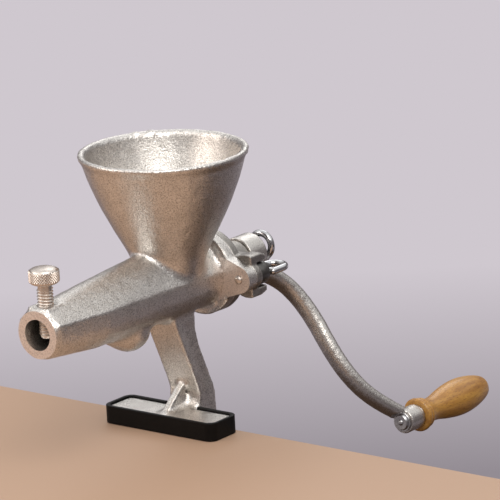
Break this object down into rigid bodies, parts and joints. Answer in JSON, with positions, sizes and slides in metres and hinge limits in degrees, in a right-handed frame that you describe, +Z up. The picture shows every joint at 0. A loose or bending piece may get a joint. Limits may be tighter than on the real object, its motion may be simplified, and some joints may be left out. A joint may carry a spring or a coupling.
{
  "type": "hand crank meat grinder",
  "caption": "Table-clamped hand crank grinder: a hopper over a tapered barrel with a turning worm, a radial screw at the nozzle and a wooden grip on the crank.",
  "frame": {"origin": "centre of the clamp's seat: the underside of the rubber boot, on the table top", "axes": "+X along the barrel from the nozzle to the crank, +Y along the table's edge, +Z up"},
  "size_m": [0.4053, 0.1593, 0.3058],
  "materials": {
    "cast_aluminium": "tumbled casting, fine grain",
    "cast_crank": "tumbled casting, fine grain",
    "cast_worm": "rough casting",
    "boot_rubber": "moulded, matt",
    "bush_bronze": "turned bronze",
    "washer_fibre": "pressed fibre",
    "plated_steel": "zinc plated",
    "dark_steel": "oiled dark steel",
    "chrome_wire": "polished",
    "nickel_steel": "nickel plated, knurled",
    "turned_wood": "turned and varnished"
  },
  "bodies": {
    "frame": {"body_casting": "cast_aluminium", "foot_boot": "boot_rubber", "rear_cover": "cast_aluminium", "shaft_bush": "bush_bronze", "thrust_washer": "washer_fibre"},
    "crank": {"worm": "cast_worm", "crank_arm": "cast_crank", "hub_washer": "plated_steel", "hub_screw": "dark_steel", "handle_pin": "plated_steel", "boss_washer": "plated_steel"},
    "grip": {"wooden_grip": "turned_wood", "grip_washer": "plated_steel"},
    "hub_loop": {"hub_screw_loop": "chrome_wire"},
    "near_screw": {"near_cover_screw": "dark_steel"},
    "far_screw": {"far_cover_screw": "dark_steel"},
    "near_loop": {"near_screw_loop": "chrome_wire"},
    "far_loop": {"far_screw_loop": "chrome_wire"},
    "nozzle_screw": {"nozzle_screw": "nickel_steel"},
    "pad": {"swivel_pad": "plated_steel"},
    "clamp_screw": {"clamp_screw": "plated_steel"},
    "tommy_bar": {"tommy_bar": "plated_steel", "tommy_bar_knobs": "plated_steel"}
  },
  "joints": [
    {"name": "crank_turn", "type": "hinge", "parent": "frame", "child": "crank", "pos_m": [0.009, 0, 0.105], "axis": [1, 0, 0], "continuous": true},
    {"name": "grip_spin", "type": "hinge", "parent": "crank", "child": "grip", "pos_m": [0.189, -0.08426, -0.02984], "axis": [1, 0, 0], "continuous": true},
    {"name": "hub_loop_fold", "type": "hinge", "parent": "crank", "child": "hub_loop", "pos_m": [0.11, 0, 0.105], "axis": [0, -0.7071, -0.7071], "range_deg": [-175, 0]},
    {"name": "near_screw_turn", "type": "hinge", "parent": "frame", "child": "near_screw", "pos_m": [0.069, -0.038, 0.105], "axis": [1, 0, 0], "range_deg": [-180, 180]},
    {"name": "far_screw_turn", "type": "hinge", "parent": "frame", "child": "far_screw", "pos_m": [0.069, 0.038, 0.105], "axis": [1, 0, 0], "range_deg": [-180, 180]},
    {"name": "near_loop_fold", "type": "hinge", "parent": "near_screw", "child": "near_loop", "pos_m": [0.0698, -0.038, 0.105], "axis": [0, 1, 0], "range_deg": [-75, 75]},
    {"name": "far_loop_fold", "type": "hinge", "parent": "far_screw", "child": "far_loop", "pos_m": [0.0698, 0.038, 0.105], "axis": [0, 1, 0], "range_deg": [-75, 75]},
    {"name": "nozzle_screw_travel", "type": "slide", "parent": "frame", "child": "nozzle_screw", "axis": [0, 0, 1], "range_m": [-0.006, 0.015]},
    {"name": "pad_travel", "type": "slide", "parent": "frame", "child": "pad", "axis": [0, 0, 1], "range_m": [-0.018, 0.014]},
    {"name": "clamp_screw_turn", "type": "hinge", "parent": "pad", "child": "clamp_screw", "pos_m": [0, 0, -0.06], "axis": [0, 0, 1], "range_deg": [-3300, 2600]},
    {"name": "tommy_bar_slide", "type": "slide", "parent": "clamp_screw", "child": "tommy_bar", "axis": [0, 1, 0], "range_m": [-0.012, 0.012]}
  ],
  "couplings": [
    {"joint": "clamp_screw_turn", "follows": "pad_travel", "rad_per_m": 3141.6}
  ]
}
